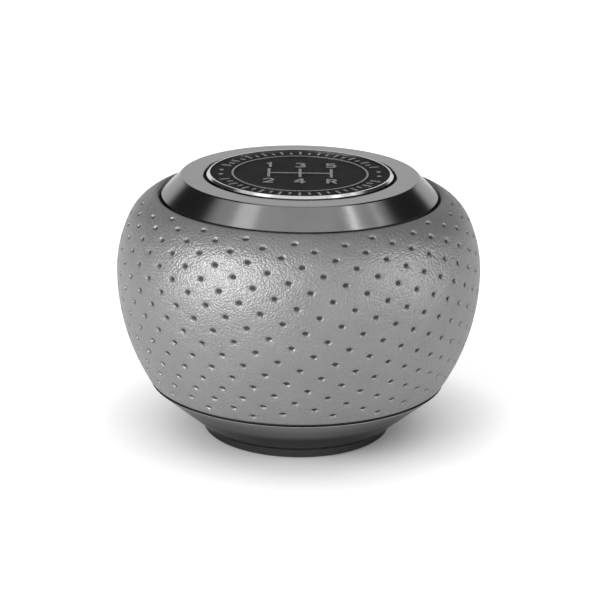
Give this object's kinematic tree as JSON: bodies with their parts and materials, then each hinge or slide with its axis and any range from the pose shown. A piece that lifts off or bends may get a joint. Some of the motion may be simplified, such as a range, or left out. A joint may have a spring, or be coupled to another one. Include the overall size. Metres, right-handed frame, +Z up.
{
  "type": "gear shift knob",
  "caption": "Round gear shift knob covered in perforated leather, with a metal bezel, a badge with a shift diagram and a tapered metal collar.",
  "frame": {"origin": "centre of the collar's flat resting face, on the axis of the lever thread", "axes": "+Z up along the lever towards the badge; the badge is read from the front, which faces -Y; +X to the right"},
  "size_m": [0.053, 0.053, 0.0389],
  "materials": {
    "badge_metal": "struck and polished",
    "badge_enamel": "dark enamel",
    "adhesive": "double-sided foam pad",
    "bezel_metal": "satin anodised",
    "screw_steel": "black oxide",
    "leather": "perforated grey leather, satin",
    "pad": "black foam rubber",
    "moulding": "black moulded plastic",
    "hub_steel": "turned steel",
    "adapter_metal": "turned",
    "gasket": "black rubber",
    "collar_metal": "satin gunmetal"
  },
  "bodies": {
    "root": {"badge_plate": "badge_metal", "badge_enamel_center": "badge_enamel", "badge_enamel_band": "badge_enamel", "badge_adhesive": "adhesive", "top_bezel": "bezel_metal", "bezel_screw_1": "screw_steel", "bezel_screw_2": "screw_steel", "bezel_screw_3": "screw_steel", "leather_cover": "leather", "backing_pad": "pad", "upper_shell": "moulding", "lower_shell": "moulding", "shell_screw_1": "screw_steel", "shell_screw_2": "screw_steel", "shell_screw_3": "screw_steel", "hub": "hub_steel", "thread_adapter": "adapter_metal", "gap_ring": "gasket", "lower_collar": "collar_metal", "collar_screw_1": "screw_steel", "collar_screw_2": "screw_steel", "collar_screw_3": "screw_steel"}
  },
  "joints": []
}
